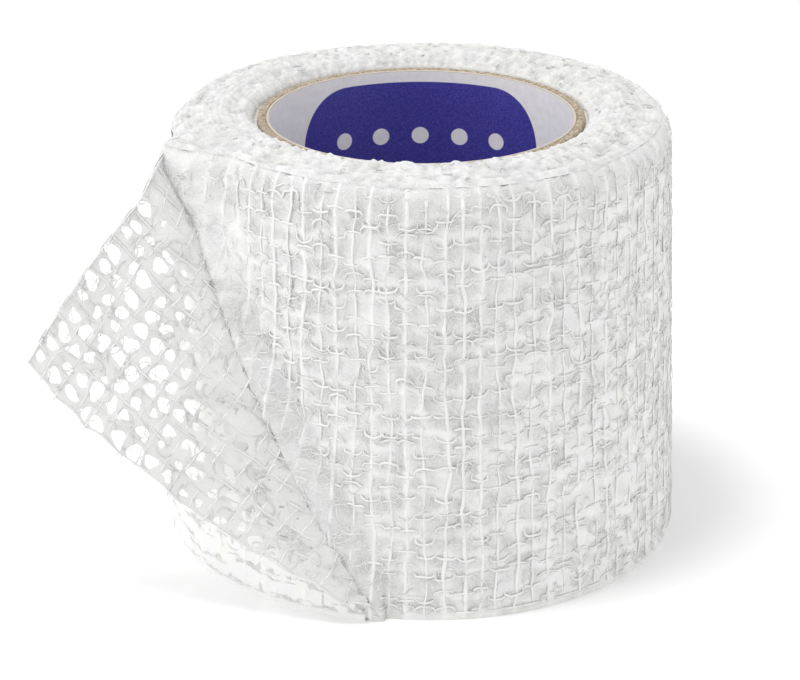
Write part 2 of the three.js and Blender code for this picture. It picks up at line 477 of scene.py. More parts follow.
# %% The net of the cloth
loose_band = 0.13
hole_share_low = 0.46
hole_share_high = 0.82
shut_strip = 3.8
shut_at_top = 3.0
opening_strip = 2.2
small_hole_chance = 0.06
hole_offset = 0.11
raggedness = 0.05
corner_fullness = 1.36
wobbles = [(1, 0.20), (2, 0.26), (3, 0.24), (4, 0.14)]
edge_steps = [(i, 0) for i in range(3)] + [(3, i) for i in range(3)]
edge_steps += [(3 - i, 3) for i in range(3)] + [(0, 3 - i) for i in range(3)]
cell_points = len(edge_steps)


def net(first, last, band_half_thickness, seed):
    """The net between two wefts, as vertices and faces of its two sides, open at its borders."""
    random = np.random.default_rng(seed)
    wefts = last - first
    rows = warp_rows - 1
    nodes = np.stack([node_back, node_height], axis=-1)[first:last + 1]
    low_left, low_right = nodes[:-1, :-1], nodes[1:, :-1]
    high_left, high_right = nodes[:-1, 1:], nodes[1:, 1:]
    share = np.array(edge_steps) / 3
    x, y = share[:, 0][:, None], share[:, 1][:, None]
    edge = (
        low_left[:, :, None] * (1 - x) * (1 - y) + low_right[:, :, None] * x * (1 - y)
        + high_left[:, :, None] * (1 - x) * y + high_right[:, :, None] * x * y
    )
    middle = edge.mean(axis=2, keepdims=True)
    around = edge - middle
    corner = np.array([corner_fullness if {a, b} <= {0, 3} else 1.0 for a, b in edge_steps])
    size = random.uniform(hole_share_low, hole_share_high, (wefts, rows, 1))
    size = np.where(random.random((wefts, rows, 1)) < small_hole_chance, size * 0.5, size)
    turn = np.arctan2(y - 0.5, x - 0.5)[:, 0]
    ragged = random.normal(1, raggedness, (wefts, rows, cell_points))
    for waves, swing in wobbles:
        start = random.uniform(0, 2 * math.pi, (wefts, rows, 1))
        ragged += random.uniform(0, swing, (wefts, rows, 1)) * np.cos(waves * turn + start)
    from_edge = np.abs(middle[..., 0] - edge_back(middle[..., 1]))
    shut = shut_strip + shut_at_top * smooth((middle[..., 1] - 0.75) / 0.25)
    near_crease = 0.10 + 0.90 * smooth((from_edge - shut) / opening_strip)
    shrink = np.clip(size * ragged * near_crease / corner, 0.03, 0.93)
    shift = random.normal(0, hole_offset, (wefts, rows, 1, 2)) * [weft_pitch, 1 / rows]
    hole = middle + shift + around * shrink[..., None]
    is_corner = corner > 1
    on_weft = np.array([a in (0, 3) for a, b in edge_steps]) & ~is_corner
    half = np.where(is_corner, 1.15, np.where(on_weft, 0.8, 1.0)) * band_half_thickness
    half = np.broadcast_to(half, (wefts, rows, cell_points)).copy()
    swell = 1 + 0.25 * np.sin(edge[..., 0] * 5.1 + edge[..., 1] * 313)
    half = half * swell
    top, _ = on_cloth(edge[..., 0], edge[..., 1], half)
    bottom, _ = on_cloth(edge[..., 0], edge[..., 1], -half)
    rim, _ = on_cloth(hole[..., 0], hole[..., 1], np.zeros(half.shape))
    cells = wefts * rows
    block = cells * cell_points
    vertices = np.concatenate([part.reshape(-1, 3) for part in (top, rim, bottom)])
    k = np.arange(cell_points)[None, :]
    n = (k + 1) % cell_points
    base = np.arange(cells)[:, None] * cell_points
    here, after = base + k, base + n
    upper = np.stack([after, here, block + here, block + after], axis=-1)
    under = np.stack([2 * block + here, 2 * block + after, block + after, block + here], axis=-1)
    return vertices, np.concatenate([upper.reshape(-1, 4), under.reshape(-1, 4)]).tolist()

# %% [markdown]
# The cells were made one by one and don't share points yet. Merging the points that meet sews
# them together, and a bridge round the outer border closes the two sides into one solid.

# %% Sewing the net
def sew_net(piece):
    """Merges the cells along their shared edges, and bridges the two sides round the border."""
    bpy.ops.object.select_all(action="DESELECT")
    bpy.context.view_layer.objects.active = piece
    piece.select_set(True)
    bpy.ops.object.mode_set(mode="EDIT")
    bpy.ops.mesh.select_all(action="SELECT")
    bpy.ops.mesh.remove_doubles(threshold=1e-6)
    bpy.ops.mesh.select_all(action="DESELECT")
    bpy.ops.mesh.select_mode(type="EDGE")
    bpy.ops.mesh.select_non_manifold()
    bpy.ops.mesh.bridge_edge_loops()
    bpy.ops.mesh.select_mode(type="VERT")
    bpy.ops.mesh.select_all(action="SELECT")
    bpy.ops.mesh.normals_make_consistent(inside=False)
    bpy.ops.object.mode_set(mode="OBJECT")
    bpy.ops.object.shade_smooth_by_angle(angle=math.radians(50))


loose_net = mesh_piece("loose_end_net", *net(0, root_weft, loose_band, 5), "bandage")
sew_net(loose_net)
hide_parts("loose_end")
print("net triangles:", triangles(loose_net))

# %% [markdown]
# Wound tight, the same cloth looks like another one. The turns are pressed on each other, the
# latex film of one fills the holes of the next, and no hole goes through. What is left is a soft
# felt with shallow cells between ridges, so it is made as one relief over the grid. Each point
# also keeps how white it is there, which is painted light and shade that follow the relief: the
# ridges are painted white and the cells a little greyer. Painted shade also darkens the strip
# beside the fold and the shoulder, and painted light brightens the part laid under the flap and
# the tight side. The list of parts says how high and how white each of them makes the felt.

# %% The felt of the wound cloth
felt_steps = np.array([-0.5, -0.28, -0.13, -0.06, 0.0, 0.06, 0.13, 0.28])
felt_per_row = 7
felt_level = 0.10
cell_depth = 0.12
skirt_depth = 0.6
foot_reach = 0.62
foot_row_lift = 0.12
plain_white = 0.46
shut_cell_chance = 0.12
shut_cell_rim = 0.8
core_width, ridge_width, row_width, ghost_width = 0.075, 0.17, 0.20, 0.10
fold_shade, shoulder_shade = 0.75, 0.40
laid_glow, tight_glow = 0.50, 0.10
felt_per_weft = len(felt_steps)

felt_p = (np.arange(weft_count)[:, None] + felt_steps).ravel()
felt_q = np.arange((warp_rows - 1) * felt_per_row + 1) / felt_per_row
felt_shape = (len(felt_p), len(felt_q))
felt_share = felt_q[None, :] / (warp_rows - 1)
# Places are counted in wefts and warps, and bent a little so that no cell is square.
bent_p = felt_p[:, None] + 0.09 * soft_field(felt_shape, 3, 4, 71)
bent_q = felt_q[None, :] + 0.12 * soft_field(felt_shape, 5, 3, 72)
cell_rim = rng.uniform(0.02, 0.38, (weft_count + 3, warp_rows + 3))
cell_rim = np.where(rng.random(cell_rim.shape) < shut_cell_chance, shut_cell_rim, cell_rim)
rim_here = cell_rim[np.floor(bent_p).astype(int) + 2, np.floor(bent_q).astype(int) + 2]
# A gap is 1 in the middle of a cell and 0 on its threads, and a cell opens inside its rim.
gap = np.abs(np.sin(math.pi * bent_p) * np.sin(math.pi * bent_q))
felt_back = first_weft + weft_pitch * felt_p[:, None]
laid = smooth(1 - (felt_back - 50) / 40)
still = calm(felt_back, felt_share)
still = np.maximum(still, np.maximum(0.7 * laid, 0.65 * tight(felt_back)))
openness = smooth((gap - rim_here) / 0.45) * (1 - 0.8 * still)
# Ridges follow the wefts and the rows, and faint ones show the turn underneath.
from_weft = np.abs(felt_p - np.round(felt_p))[:, None]
from_row = np.abs(bent_q - np.round(bent_q))
strength = np.where(np.round(felt_p) % 2 == 0, 1.0, 0.4)[:, None]
strength = strength * np.clip(1 + 0.35 * soft_field(felt_shape, 2, 14, 77), 0.2, 1.6)
strength = strength * (1 - 0.8 * still)
weft_core = np.exp(-(from_weft / core_width) ** 2) * strength
weft_ridge = np.exp(-(from_weft / ridge_width) ** 2) * strength
row_ridge = np.exp(-(from_row / row_width) ** 2) * (0.6 + 0.4 * soft_field(felt_shape, 6, 4, 75))
ghost_p = bent_p * 0.985 + 0.45 + 0.25 * soft_field(felt_shape, 3, 16, 76)
ghost_ridge = np.exp(-((ghost_p - np.round(ghost_p)) / ghost_width) ** 2)
streaks = soft_field(felt_shape, 1.0, 12, 73)
grain = soft_field(felt_shape, 1.0, 1.0, 74)
# The whiteness column is painted light on the ridges and painted shade in the open cells.
felt_parts = [
    (openness, -cell_depth, -0.30),
    (weft_ridge, 0.08, 0.18),
    (weft_core, 0.08, 0.40),
    (row_ridge, 0.04, 0.14),
    (ghost_ridge, 0.04, 0.10),
    (streaks, 0.02, 0.05),
    (grain, 0.02, 0.08),
]
felt_height = felt_level + sum(high * part for part, high, _ in felt_parts)
felt_height = felt_height - tucked(felt_back)
felt_white = plain_white + sum(white * part for part, _, white in felt_parts)
# Painted shade darkens the strip beside the fold, and painted light brightens the part laid under the
# flap.
felt_white = felt_white - fold_shade * beside_fold(felt_back, felt_share) + laid_glow * laid
# Painted light brightens the tight side, which turns away from the lamps.
felt_white = felt_white + tight_glow * tight(felt_back)
# Painted shade darkens the cloth at the shoulder, just under the top edge.
felt_white = felt_white - shoulder_shade * smooth((felt_share - 0.90) / 0.08)

# %% [markdown]
# The relief is a map of heights. A displacement modifier could use it, but would not follow the
# crooked grid, so each point is placed on the cloth here. The border is turned down, which closes
# the felt against the body, and its foot rests on the floor.

# %% The felt laid on the cloth
def at_crossings(values, p, q):
    """Reads values that are kept at the crossings at places between them."""
    i = np.clip(np.floor(p).astype(int), 0, weft_count - 2)
    j = np.clip(np.floor(q).astype(int), 0, warp_rows - 2)
    s, t = p - i, q - j
    low = values[i, j] * (1 - s) + values[i + 1, j] * s
    high = values[i, j + 1] * (1 - s) + values[i + 1, j + 1] * s
    return low * (1 - t) + high * t


def felt(first, last, start, end_tuck, name):
    """The felt between two wefts, from a start line on, with its border turned down. Its end goes
    a little way down under the piece that overlaps it."""
    strip = slice(first * felt_per_weft, last * felt_per_weft)
    p = np.maximum(felt_p[strip, None], start[None, :])
    q = np.broadcast_to(felt_q[None, :], p.shape)
    lift, white = felt_height[strip], felt_white[strip]
    lift = lift - end_tuck * smooth((p - last + 1.7) / 0.5)
    back, height = at_crossings(node_back, p, q), at_crossings(node_height, p, q)
    back, height = np.pad(back, 1, mode="edge"), np.pad(height, 1, mode="edge")
    lift, white = np.pad(lift, 1, constant_values=-skirt_depth), np.pad(white, 1, mode="edge")
    height[:, 0] -= foot_reach / cloth_width
    lift[:, 0] = foot_row_lift
    points, _ = on_cloth(back, height, lift)
    points[:, 0, 2] = 0.0
    columns, rows = lift.shape
    a = (np.arange(columns - 1)[:, None] * rows + np.arange(rows - 1)[None, :]).ravel()
    quads = np.stack([a, a + 1, a + rows + 1, a + rows], axis=-1)
    corner = points.reshape(-1, 3)[quads]
    across = np.cross(corner[:, 2] - corner[:, 0], corner[:, 3] - corner[:, 1])
    quads = quads[np.linalg.norm(across, axis=1) > 1e-4]
    piece = mesh_piece(name, points.reshape(-1, 3), quads.tolist(), "bandage")
    keep_white(piece, white)
    return piece


everywhere = np.full(len(felt_q), -1.0)
roll_felt = felt(root_weft, weft_count, everywhere, 0.0, "outer_turn_felt")
laid_start = crease_back(felt_share[0]) + 0.4 + 1.1 * smooth(felt_share[0] / 0.08)
after_crease = np.interp(laid_start, weft_back, np.arange(weft_count))
laid_felt = felt(0, root_weft + 1, after_crease, 0.35, "loose_end_felt")
print("felt triangles:", triangles(roll_felt), triangles(laid_felt))

# %% [markdown]
# The weft threads are the crisp white lines. They are thin, they alternate between a stronger
# and a weaker thread, and they ride over one warp yarn and under the next. A few are thick.

# %% Weft threads
strong_weft = 0.235
weak_weft = 0.165
thick_weft = 0.27
top_sink = 0.25
weft_sinks = (0.25, 0.06, 0.22)
thick_wefts = {root_weft - 2, root_weft + 50, root_weft + 69}
steps_per_row = 5


def sink_at_top(height):
    """How far threads go down into the fluff just below the top edge."""
    return top_sink * smooth((height - 0.955) / 0.04)


def held_down(back, height, calmed, tightened, shaded):
    """How much lower threads lie where the cloth is smooth, tight, or in the fold's shade."""
    lower = calmed * calm(back, height) + tightened * tight(back)
    return lower + shaded * beside_fold(back, height) + tucked(back)


def weft_lines(first, last, mean_lift, lift_swing, thickness):
    """Flat tubes along the wefts, which rise and sink as they cross the warp yarns."""
    steps = (warp_rows - 1) * steps_per_row + 1
    position = np.linspace(0, warp_rows - 1, steps)
    rows = np.arange(warp_rows)
    wefts = range(first, last)
    back = np.array([np.interp(position, rows, node_back[i]) for i in wefts])
    back = back + slow_noise((last - first, steps), 6, 7 + first) * 0.12
    height = np.array([np.interp(position, rows, node_height[i]) for i in wefts])
    parity = np.arange(first, last)[:, None] % 2
    swing = np.cos(math.pi * (position[None, :] + parity))
    swing = swing + slow_noise((last - first, steps), 8, 8 + first) * 0.4
    lift = mean_lift + lift_swing * swing
    lift = lift - sink_at_top(height) - held_down(back, height, *weft_sinks)
    lines, normal = on_cloth(back, height, lift)
    is_weak = parity == 1
    radius = np.where(is_weak, weak_weft, strong_weft) * np.ones((1, steps))
    for i in thick_wefts & set(wefts):
        radius[i - first] = thick_weft
    radius = thickness * radius * (1 + 0.22 * slow_noise((last - first, steps), 7, 9 + first))
    return tubes(lines, radius, 6, normal, 0.5)


loose_wefts = thread_piece(
    "loose_end_wefts",
    weft_lines(0, root_weft, mean_lift=-0.09, lift_swing=0.10, thickness=0.66),
)
roll_wefts = thread_piece(
    "outer_turn_wefts",
    weft_lines(root_weft, weft_count, mean_lift=0.23, lift_swing=0.06, thickness=1.0),
)
print("weft triangles:", triangles(loose_wefts), triangles(roll_wefts))

# %% [markdown]
# The warp yarns are elastic and crimped. Each row has two thin yarns that swing up and down in
# step with the wefts and cross them on the outside by turns, which leaves the small hooks that
# are seen at each crossing. The swing is different at every crossing.

# %% Crimped warp yarns
crimped_radius = 0.14
crimp_steps = 7
hook_slant = 0.42
yarn_fuzz = 0.07
yarn_sinks = (0.4, 0.13, 0.30)
lowest_yarn, highest_yarn = 0.003, 0.997


def crimped_yarns(first, last, mean_lift, lift_swing, crimp_swing, thickness, fray, seed):
    """Two crimped yarns on each warp row. With fray, their ends stick out at the cut edge."""
    random = np.random.default_rng(seed)
    wefts = last - first
    steps = (wefts - 1) * crimp_steps + 1
    position = np.linspace(0, wefts - 1, steps)
    index = np.arange(wefts)
    lines, guides = [], []
    for row in range(warp_rows):
        for twin in (0, 1):
            back = np.interp(position, index, node_back[first:last, row])
            height = np.interp(position, index, node_height[first:last, row])
            phase = math.pi * (position + twin)
            over = 0.5 + 0.5 * np.cos(phase)
            nearest = np.clip(np.round((position + twin) / 2) * 2 - twin, 0, wefts - 1).astype(int)
            way = random.choice([-1, 1], wefts) * random.uniform(0.25, 1.3, wefts)
            height = height + crimp_swing * way[nearest] * over ** 1.3 / cloth_width
            height = height + yarn_fuzz * random.normal(0, 1, steps) / cloth_width
            height = np.clip(height, lowest_yarn, highest_yarn)
            skew = np.interp(position, index, random.uniform(-0.25, 0.25, wefts))
            back = back + hook_slant * np.sin(2 * phase) + skew
            if fray:
                reach = random.uniform(0.1, 0.7)
                back = back - reach * np.exp(-position / 0.8)
            lift = mean_lift + lift_swing * np.cos(phase)
            lift = lift - 1.2 * sink_at_top(height) - held_down(back, height, *yarn_sinks)
            line, normal = on_cloth(back, height, lift)
            lines.append(line)
            guides.append(normal)
    lines, guides = np.array(lines), np.array(guides)
    radius = thickness * crimped_radius * (1 + 0.3 * slow_noise(lines.shape[:2], 9, seed + 1))
    return tubes(lines, radius, 4, guides, 0.6)


loose_yarns = thread_piece("loose_end_warps", crimped_yarns(
    0, root_weft + 1, mean_lift=0.02, lift_swing=0.16, crimp_swing=0.8, thickness=0.65,
    fray=True, seed=11,
))
roll_yarns = thread_piece("outer_turn_warps", crimped_yarns(
    root_weft, weft_count, mean_lift=0.09, lift_swing=0.24, crimp_swing=1.15, thickness=1.08,
    fray=False, seed=13,
))
print("warp triangles:", triangles(loose_yarns), triangles(roll_yarns))

# %% [markdown]
# The body is the wound bandage behind the felt, with the top face inside the shoulder and the
# flat foot. It could be a plain cylinder, but the roll is a spiral with a soft shoulder. So its
# section is drawn once with extrudes and spun about the core, and then each column is moved in
# or out to the spiral that the roll has.

# %% The wound body
body_columns = 240
body_depth = 0.55
top_depth = 0.85
body_foot = 0.12
wefts_drawn = 90
bore_radius = board_outer + 0.02
side_share = 0.92
section_width = 10.0


def visible_turns(angle):
    """How many turns back from the cut edge the outer cloth at an angle is; under the fold it is
    one turn more, and that step is eased out where the loose end lies flat over it."""
    back = ((cut_angle - angle) % (2 * math.pi)) * mean_radius
    return back / one_turn + 1 - smooth((back - crease_back_at_top) / 5)


def top_height(angle, radius):
    """Height of the top face: the shoulder outside the crown, and a shallow hollow inside it."""
    crown = wound_radius(angle, shoulder_start, visible_turns(angle)) - shoulder_width
    inward = np.clip((crown - radius) / (crown - roll_inner), 0, 1)
    bundle = np.cos(2 * math.pi * (radius - roll_inner) / bundle_pitch + angle)
    swell = bundle_height * bundle * smooth(inward * 4) * smooth((1 - inward) * 4)
    flat = roll_height - bundle_height - inner_edge_drop * inward * inward + swell
    out = np.clip((radius - crown) / shoulder_width, 0, 1)
    round_over = shoulder_start + (flat - shoulder_start) * np.sqrt(1 - out * out)
    return np.where(radius > crown, round_over, flat)

# %% [markdown]
# A round piece is most simply a section that is spun about an axis. These helpers do that, read
# the vertices back so that they can be pushed out of the round, and map a finish round a piece.

# %% Helpers for spun pieces
def spun(section, columns, name):
    """Draws a closed section point by point with extrudes and spins it round the core's axis."""
    bpy.ops.object.select_all(action="DESELECT")
    bpy.ops.mesh.primitive_plane_add(size=MM, location=(0, 0, 0))
    piece = bpy.context.object
    piece.name = piece.data.name = name
    bpy.ops.object.mode_set(mode="EDIT")
    bpy.ops.mesh.select_all(action="SELECT")
    bpy.ops.mesh.merge(type="CENTER")
    at = np.array(section)
    start = (axis_x + at[0][0], axis_y, at[0][1])
    bpy.ops.transform.translate(value=[part * MM for part in start])
    for step in np.diff(at, axis=0) * MM:
        bpy.ops.mesh.extrude_region_move(TRANSFORM_OT_translate={"value": (step[0], 0, step[1])})
    bpy.ops.mesh.select_all(action="SELECT")
    centre = (axis_x * MM, axis_y * MM, 0)
    bpy.ops.mesh.spin(steps=columns, angle=2 * math.pi, center=centre, axis=(0, 0, 1))
    bpy.ops.mesh.select_all(action="SELECT")
    bpy.ops.mesh.remove_doubles(threshold=1e-6)
    bpy.ops.mesh.select_all(action="SELECT")
    bpy.ops.mesh.normals_make_consistent(inside=False)
    bpy.ops.object.mode_set(mode="OBJECT")
    bpy.ops.object.shade_smooth_by_angle(angle=math.radians(40))
    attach(piece, "root")
    return piece


def vertex_places(piece):
    """The vertices of a piece in millimetres, and their angle and distance from the core's axis."""
    places = np.empty(len(piece.data.vertices) * 3)
    piece.data.vertices.foreach_get("co", places)
    places = places.reshape(-1, 3) / MM
    x, y = places[:, 0] - axis_x, places[:, 1] - axis_y
    return places, np.arctan2(x, -y), np.hypot(x, y)


def put_vertices(piece, places):
    piece.data.vertices.foreach_set("co", (places * MM).ravel())
    piece.data.update()


def whole_numbers(items, name):
    values = np.empty(len(items), dtype=int)
    items.foreach_get(name, values)
    return values


def map_round(piece, name, u, v, once_round):
    """A UV map from two values at each vertex. The first grows by once_round in a turn, and a
    face that spans its jump takes the high side for all its corners, so nothing smears there."""
    mesh = piece.data
    corner = whole_numbers(mesh.loops, "vertex_index")
    u, v = u[corner], v[corner]
    highest = np.maximum.reduceat(u, whole_numbers(mesh.polygons, "loop_start"))
    highest = np.repeat(highest, whole_numbers(mesh.polygons, "loop_total"))
    u = np.where(highest - u > once_round / 2, u + once_round, u)
    layer = mesh.uv_layers.new(name=name)
    layer.data.foreach_set("uv", np.stack([u, v], axis=1).ravel())

# %% [markdown]
# The section is drawn in shares of its width and height: the foot, the side, the shoulder and
# the top. The shares become places twice, first on a plain ring and then on the spiral.

# %% The section, spun and shaped
side_rows, shoulder_rows, top_rows = 28, 8, 14
section = [(0.0, 0.0), (0.35, 0.0), (0.7, 0.0), (0.97, 0.0), (1.0, 0.02)]
section += [(1.0, 0.02 + (side_share - 0.02) * (i + 1) / side_rows) for i in range(side_rows)]
for i in range(shoulder_rows):
    turn = (i + 1) / shoulder_rows * math.pi / 2
    section.append((1 - 0.5 * (1 - math.cos(turn)), side_share + 0.01 * (i + 1)))
section += [(0.5 * (1 - (i + 1) / top_rows), 1.0) for i in range(top_rows)]
section.append(section[0])
section = [(bore_radius + out * section_width, up * roll_height) for out, up in section]
body = spun(section, body_columns, "roll_body")

places, angle, radius = vertex_places(body)
out = (radius - bore_radius) / section_width
up = places[:, 2] / roll_height
height = np.minimum(up / side_share, 1) * shoulder_start
side = wound_radius(angle, height, visible_turns(angle) + 1) + cloth_standoff - body_depth
new_radius = bore_radius + (side - bore_radius) * out
on_top = up > side_share + 0.001
new_top = top_height(angle, new_radius) - top_depth
new_height = np.where(on_top, new_top, np.maximum(height, body_foot))
new_height = np.minimum(new_height, np.where(out < 0.02, core_length + 0.2, roll_height))
put_vertices(body, polar(angle, new_radius, new_height))

places, angle, _ = vertex_places(body)
wefts_back = ((cut_angle - angle) % (2 * math.pi)) / (2 * math.pi) * wefts_drawn
map_round(body, "cloth", wefts_back, places[:, 2] / warp_pitch, wefts_drawn)
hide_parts("roll")
print("body:", len(body.data.vertices), "vertices,", triangles(body), "triangles")

# %% [markdown]
# On the top face every turn shows its edge, and the edges are fluffy: the wefts turn back there
# in little loops, and the latex mats them into a felt of soft lumps. So the top is one relief,
# from the core out to the edge of the outer cloth, which it also follows where that is pulled
# away under the fold.

# %% Edges of the turns on the top
edge_pitch = 0.78
edge_radius = 0.36
edge_turns = int((top_radius - roll_inner) / edge_pitch) + 1
top_columns = 640
top_rings = 60
top_level = 0.22
loop_thickness = (0.07, 0.11)
border_lift = 0.08
bore_dip = 0.7


def top_felt(name):
    """The matted edges of all turns: a relief over the top face, with its whiteness."""
    back = edge_back(1.0) + one_turn * np.arange(top_columns) / top_columns
    border, _ = on_cloth(back, np.ones(top_columns), np.full(top_columns, border_lift))
    x, y = border[:, 0] - axis_x, border[:, 1] - axis_y
    angle, reach = np.arctan2(x, -y)[:, None], np.hypot(x, y)[:, None]
    share = np.linspace(0, 1, top_rings)[None, :]
    plain_reach = wound_radius(angle, shoulder_start, visible_turns(angle)) - 0.6
    start = roll_inner + 0.05
    radius = start + (reach - start) * share
    height = top_height(angle, start + (plain_reach - start) * share) - top_level
    height = height + (border[:, 2:] - height[:, -1:]) * smooth((share - 0.75) / 0.25)
    shape = radius.shape
    turn = np.cos(2 * math.pi * ((radius - start) / edge_pitch - angle / (2 * math.pi)))
    big_lumps = soft_field(shape, 2.6, 4.5, 81)
    lumps = soft_field(shape, 1.1, 2.3, 82)
    curls = soft_field(shape, 0.7, 1.1, 83)
    inside = 1 - smooth((share - 0.86) / 0.14)
    mat = 0.05 * big_lumps + 0.13 * lumps + 0.05 * curls + 0.05 * turn
    height = height + mat * (0.25 + 0.75 * inside) - bore_dip * np.exp(-(radius - start) / 0.22)
    # The whiteness follows the same lumps and turn ridges as the height: painted light on the raised
    # parts and painted shade in the hollows.
    white = 0.50 + 0.06 * big_lumps + 0.16 * lumps + 0.08 * curls + 0.09 * turn
    vertices = polar(angle, radius, height).reshape(-1, 3)
    i = np.arange(top_columns)[:, None] * top_rings
    after = (i + top_rings) % (top_columns * top_rings)
    j = np.arange(top_rings - 1)[None, :]
    quads = np.stack([i + j, after + j, after + j + 1, i + j + 1], axis=-1).reshape(-1, 4)
    piece = mesh_piece(name, vertices, quads.tolist(), "bandage")
    keep_white(piece, white)
    return piece

# %% [markdown]
# At the foot the turns are seen only from below, so a plain ring of soft yarn for each will do.
# On top, short loops of thin yarn stand out of the felt here and there.

# %% Rings at the foot and loops on the top
def edge_place(angle, turn):
    """Distance from the axis of a turn's edge, kept inside the outer cloth."""
    share = (angle / (2 * math.pi)) % 1
    limit = wound_radius(angle, shoulder_start, visible_turns(angle) + 1) + cloth_standoff - 0.5
    return np.minimum(roll_inner + 0.2 + edge_pitch * (turn + share), limit)


def foot_turn_edges(steps, seed):
    """A ring of soft yarn for each turn, just above the floor."""
    turns = np.arange(edge_turns)[:, None]
    angle = np.linspace(0, 2 * math.pi * 0.9999, steps)[None, :] + np.zeros((edge_turns, 1))
    shape = angle.shape
    radius = edge_place(angle, turns) + 0.22 * slow_noise(shape, 3, seed)
    height = 0.42 + 0.05 * slow_noise(shape, 4, seed + 1)
    thickness = np.minimum(edge_radius * (1 + 0.42 * slow_noise(shape, 2, seed + 2)), height - 0.03)
    lines = polar(angle, radius, height)
    guide = np.broadcast_to([0.0, 0.0, 1.0], lines.shape)
    return tubes(lines, thickness, 5, guide)


def top_loops(count, seed, low_radius, high_radius, span, rise):
    """Short arcs of yarn that stand out of the top face, in all directions."""
    random = np.random.default_rng(seed)
    angle = random.uniform(0, 2 * math.pi, count)
    radius = np.sqrt(random.uniform(low_radius ** 2, high_radius ** 2, count))
    limit = wound_radius(angle, shoulder_start, visible_turns(angle) + 1) + cloth_standoff - 0.3
    radius = np.minimum(radius, limit)
    middle = polar(angle, radius, top_height(angle, radius) - 0.15)
    heading = random.uniform(0, 2 * math.pi, count)
    ahead = np.stack([np.cos(heading), np.sin(heading), np.zeros(count)], axis=1)
    aside = np.stack([-np.sin(heading), np.cos(heading), np.zeros(count)], axis=1)
    u = np.linspace(-1, 1, 6)[None, :, None]
    half = random.uniform(0.5, 1.0, count)[:, None, None] * span / 2
    lift = random.uniform(0.2, 1.0, count)[:, None, None] * rise
    bow = random.uniform(-1, 1, count)[:, None, None] * span / 2
    arch = 1 - u * u
    lines = middle[:, None] + ahead[:, None] * u * half + aside[:, None] * bow * arch
    lines = lines + np.array([0, 0, 1.0]) * lift * arch
    guide = np.broadcast_to([0.0, 0.0, 1.0], lines.shape)
    thickness = random.uniform(*loop_thickness, count)[:, None]
    return tubes(lines, thickness, 5, guide)


top_edges = top_felt("top_turn_edges")
foot_edges = thread_piece("foot_turn_edges", foot_turn_edges(steps=110, seed=41))
top_yarns = thread_piece("top_loops", top_loops(
    count=200, seed=51, low_radius=roll_inner + 0.8, high_radius=top_radius, span=1.3, rise=0.07,
))
print("edge triangles:", triangles(top_edges), triangles(foot_edges), triangles(top_yarns))

# %% [markdown]
# Where a weft reaches the cloth's edge it turns back into the next weft, so both selvedges are a
# row of small loops. Loose hairs of cotton stand out of the whole cloth.

# %% Selvedge loops and stray hairs
hair_thickness = (0.035, 0.07)
selvedge_tilt = 0.15
hairs_end = one_turn + 40


def selvedge_loops(first, last, lift, low, high, thickness):
    """Half rings that join each second pair of wefts, at the foot and at the top."""
    lines, guides = [], []
    turn = np.linspace(0, math.pi, 8)
    for edge, row in ((0, 0), (1, warp_rows - 1)):
        outward = -1 if edge == 0 else 1
        for i in range(first + edge, last - 1, 2):
            middle = (node_back[i, row] + node_back[i + 1, row]) / 2
            half = (node_back[i + 1, row] - node_back[i, row]) / 2
            reach = rng.uniform(low, high) * outward
            back = middle - half * np.cos(turn)
            height = edge + reach * np.sin(turn) / cloth_width
            line, normal = on_cloth(back, height, lift + selvedge_tilt * (np.cos(turn) - edge))
            lines.append(line)
            guides.append(normal)
    return tubes(np.array(lines), thickness, 4, np.array(guides))


def stray_hairs(count, first_back, last_back, lift, longest, steps, seed):
    """Thin curved hairs that lie on the cloth, or just off it, in all directions."""
    random = np.random.default_rng(seed)
    back = random.uniform(first_back, last_back, (count, 1))
    height = random.uniform(0.01, 0.99, (count, 1))
    heading = random.uniform(0, 2 * math.pi, (count, 1))
    curl = random.uniform(-2.2, 2.2, (count, 1))
    length = random.uniform(0.3, 1.0, (count, 1)) * longest
    u = np.linspace(0, 1, steps)[None, :]
    way = heading + curl * u
    back = back + length * u * np.cos(way)
    height = np.clip(height + length * u * np.sin(way) / cloth_width, 0, 1)
    rise = random.uniform(-0.4, 0.4, (count, 1)) * np.sin(math.pi * u)
    lines, normal = on_cloth(back, height, lift * (1 + rise))
    return tubes(lines, random.uniform(*hair_thickness, (count, 1)), 3, normal)


loose_trim = thread_piece(
    "loose_end_trim",
    selvedge_loops(0, root_weft, lift=0.0, low=0.0, high=0.15, thickness=0.11),
)
loose_hairs = thread_piece(
    "loose_end_hairs",
    stray_hairs(1300, 1, root_back, lift=-0.16, longest=3.2, steps=6, seed=61),
)
roll_trim = thread_piece(
    "outer_turn_trim",
    selvedge_loops(root_weft, weft_count - 1, lift=0.05, low=-0.1, high=0.2, thickness=0.13),
    stray_hairs(1200, root_back, hairs_end, lift=0.36, longest=4.0, steps=6, seed=62),
)
roll_fluff = thread_piece(
    "outer_turn_fluff",
    stray_hairs(4200, root_back, hairs_end, lift=0.30, longest=2.3, steps=4, seed=63),
)
trimmings = (loose_trim, loose_hairs, roll_trim, roll_fluff)
print("trim triangles:", [triangles(piece) for piece in trimmings])

# %% [markdown]
# The core is a tube of brown paperboard. Its top rim shows as a tan ring, worn a little round by
# the cutter. The printed paper is glued inside it, so there is no gap between the two.

# %% Core board and its printed paper
liner_bore = 20.45
liner_outer = 20.76
board_inner = 20.77
round_steps = 144


def tube_section(inner, outer, bevel):
    return [
        (inner, bevel), (inner + bevel, 0.0), (outer - bevel, 0.0), (outer, bevel),
        (outer, core_length / 2), (outer, core_length - bevel), (outer - bevel, core_length),
        (inner + bevel, core_length), (inner, core_length - bevel), (inner, core_length / 2),
        (inner, bevel),
    ]


